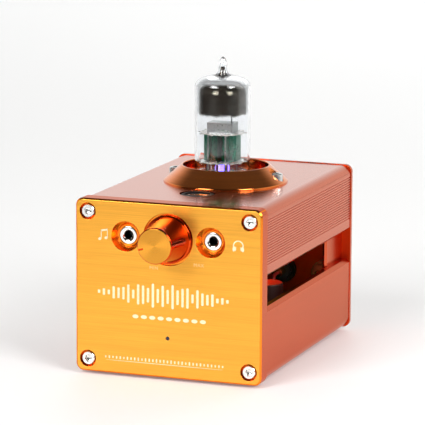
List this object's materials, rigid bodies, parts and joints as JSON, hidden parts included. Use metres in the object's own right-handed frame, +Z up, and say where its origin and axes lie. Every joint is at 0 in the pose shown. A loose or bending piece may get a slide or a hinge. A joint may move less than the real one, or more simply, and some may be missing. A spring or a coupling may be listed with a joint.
{
  "type": "headphone amplifier",
  "caption": "Palm-size desktop headphone amplifier in a copper anodised aluminium case, with a plug-in valve in a conical collar, a volume knob and front jacks.",
  "frame": {"origin": "middle of the underside of the whole object, on the plane its rubber feet stand on", "axes": "+Z up, the front plate with the knob faces -Y, the rear connectors face +Y, +X to the right seen from the front"},
  "size_m": [0.076, 0.1432, 0.1183],
  "materials": {
    "gold_anodised": "fine horizontal brushing under an orange-gold anodised film",
    "copper_anodised": "satin copper-red anodised film",
    "steel": "machined stainless",
    "nickel": "bright nickel plate",
    "rubber": "matt black rubber",
    "tube_glass": "clear blown glass",
    "mica": "pale split mica",
    "anode_metal": "dull grey carbonised nickel sheet",
    "socket_ceramic": "matt steatite",
    "brass_plated": "gold-plated brass",
    "led_lens": "clear tinted lens",
    "black_plastic": "moulded black plastic",
    "black_cap": "black moulded cap",
    "red_cap": "red moulded cap",
    "pot_metal": "stamped and turned steel",
    "switch_metal": "stamped steel case",
    "circuit_board": "black solder mask",
    "black_sleeve": "shrunk black sleeve",
    "can_aluminium": "drawn aluminium can",
    "film_red": "dipped resin",
    "resistor_blue": "painted body",
    "black_aluminium": "black anodised fins",
    "ferrite": "moulded ferrite",
    "rca_plastic": "pale insulator",
    "wire_insulation": "black wire insulation"
  },
  "bodies": {
    "case": {"front_plate": "gold_anodised", "rear_plate": "copper_anodised", "top_shell": "copper_anodised", "bottom_shell": "copper_anodised", "right_side_bridge": "copper_anodised", "left_side_bridge": "copper_anodised", "bridge_screws": "steel", "front_screws": "steel", "rear_screws": "steel", "rubber_feet": "rubber", "tube_collar": "copper_anodised", "collar_screws": "steel", "tube_socket": "socket_ceramic", "socket_contacts": "brass_plated", "tube_led": "led_lens", "line_in_socket": "black_plastic", "headphone_socket": "black_plastic", "jack_sleeves": "nickel", "pot_body": "pot_metal", "pot_nut": "nickel", "status_led": "led_lens", "led_light_pipe": "led_lens", "upper_board": "circuit_board", "lower_board": "circuit_board", "riser_board": "circuit_board", "capacitor_sleeve": "black_sleeve", "capacitor_can": "can_aluminium", "small_capacitors": "black_sleeve", "filter_capacitors": "black_sleeve", "film_capacitors": "film_red", "resistors": "resistor_blue", "amp_chip": "black_plastic", "heat_sink": "black_aluminium", "output_coils": "ferrite", "rca_shells": "brass_plated", "rca_cores": "rca_plastic", "speaker_studs": "brass_plated", "speaker_bases": "black_plastic", "speaker_wires": "wire_insulation", "dc_inlet": "black_plastic", "dc_pin": "nickel", "switch_body": "switch_metal", "rear_nuts": "nickel"},
    "volume_control": {"volume_knob": "copper_anodised", "pot_shaft": "pot_metal", "knob_set_screw": "steel"},
    "tube": {"tube_envelope": "tube_glass", "tube_pins": "nickel", "tube_micas": "mica", "tube_anodes": "anode_metal", "tube_shield": "anode_metal", "tube_cathodes": "nickel", "grid_posts": "nickel", "getter_shield": "anode_metal", "getter_ring": "nickel"},
    "power_lever": {"switch_lever": "nickel"},
    "speaker_cap_1": {"speaker_cap_1": "black_cap"},
    "speaker_cap_2": {"speaker_cap_2": "red_cap"},
    "speaker_cap_3": {"speaker_cap_3": "black_cap"},
    "speaker_cap_4": {"speaker_cap_4": "red_cap"}
  },
  "joints": [
    {"name": "volume_turn", "type": "hinge", "parent": "case", "child": "volume_control", "pos_m": [0, -0.0574, 0.0553], "axis": [0, 1, 0], "range_deg": [-45, 255]},
    {"name": "tube_pull", "type": "slide", "parent": "case", "child": "tube", "axis": [0, 0, 1], "range_m": [0, 0.03]},
    {"name": "power_toggle", "type": "hinge", "parent": "case", "child": "power_lever", "pos_m": [0.009, 0.0556, 0.0472], "axis": [1, 0, 0], "range_deg": [0, 26]},
    {"name": "speaker_cap_1_travel", "type": "slide", "parent": "case", "child": "speaker_cap_1", "axis": [0, 1, 0], "range_m": [0, 0.004]},
    {"name": "speaker_cap_2_travel", "type": "slide", "parent": "case", "child": "speaker_cap_2", "axis": [0, 1, 0], "range_m": [0, 0.004]},
    {"name": "speaker_cap_3_travel", "type": "slide", "parent": "case", "child": "speaker_cap_3", "axis": [0, 1, 0], "range_m": [0, 0.004]},
    {"name": "speaker_cap_4_travel", "type": "slide", "parent": "case", "child": "speaker_cap_4", "axis": [0, 1, 0], "range_m": [0, 0.004]}
  ]
}
